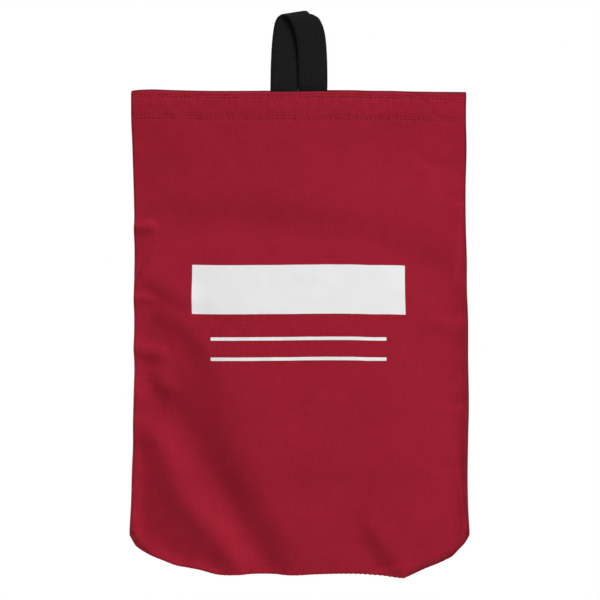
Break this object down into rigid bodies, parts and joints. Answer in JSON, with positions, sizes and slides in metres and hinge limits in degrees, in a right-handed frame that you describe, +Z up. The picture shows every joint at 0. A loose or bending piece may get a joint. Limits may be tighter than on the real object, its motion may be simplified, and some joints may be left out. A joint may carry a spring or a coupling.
{
  "type": "breathing mask storage bag",
  "caption": "Flat red woven cloth bag for a breathing mask, with a soft lining, a hook-and-loop mouth, a folded base and a black webbing loop to hang it by.",
  "frame": {"origin": "inside of the top bend of the webbing loop, where a hook or bar carries the bag", "axes": "+Z up towards the loop, +X to the right seen from the front, -Y out of the front panel"},
  "size_m": [0.3, 0.0414, 0.504],
  "materials": {
    "shell_cloth": "tightly woven coated cloth, dull red",
    "lining_fleece": "soft brushed fleece, dark grey",
    "loop_pile": "soft loop pile, black",
    "hook_tape": "moulded hooks on woven tape, black",
    "binding_tape": "ribbed woven tape, black",
    "webbing": "flat woven webbing, black",
    "thread": "bonded sewing thread, dull red",
    "print": "matt white screen print"
  },
  "bodies": {
    "hang_loop": {"hang_loop": "webbing"},
    "bag": {"back_panel": "shell_cloth", "back_lining": "lining_fleece", "back_hem": "shell_cloth", "loop_strip": "loop_pile", "back_edge_stitches": "thread", "back_hem_stitches": "thread", "base_panel": "shell_cloth", "base_lining": "lining_fleece", "left_seam_binding": "binding_tape", "right_seam_binding": "binding_tape", "loop_tails": "webbing", "loop_bar_tacks": "thread"},
    "front_wall": {"front_panel": "shell_cloth", "front_lining": "lining_fleece", "front_hem": "shell_cloth", "hook_strip": "hook_tape", "front_edge_stitches": "thread", "front_hem_stitches": "thread", "print_field": "print"}
  },
  "joints": [
    {"name": "bag_swing", "type": "hinge", "parent": "hang_loop", "child": "bag", "pos_m": [0, 0, -0.0664], "axis": [1, 0, 0], "range_deg": [-90, 90]},
    {"name": "mouth_open", "type": "hinge", "parent": "bag", "child": "front_wall", "pos_m": [0, -0.016, -0.5024], "axis": [1, 0, 0], "range_deg": [0, 14]}
  ]
}
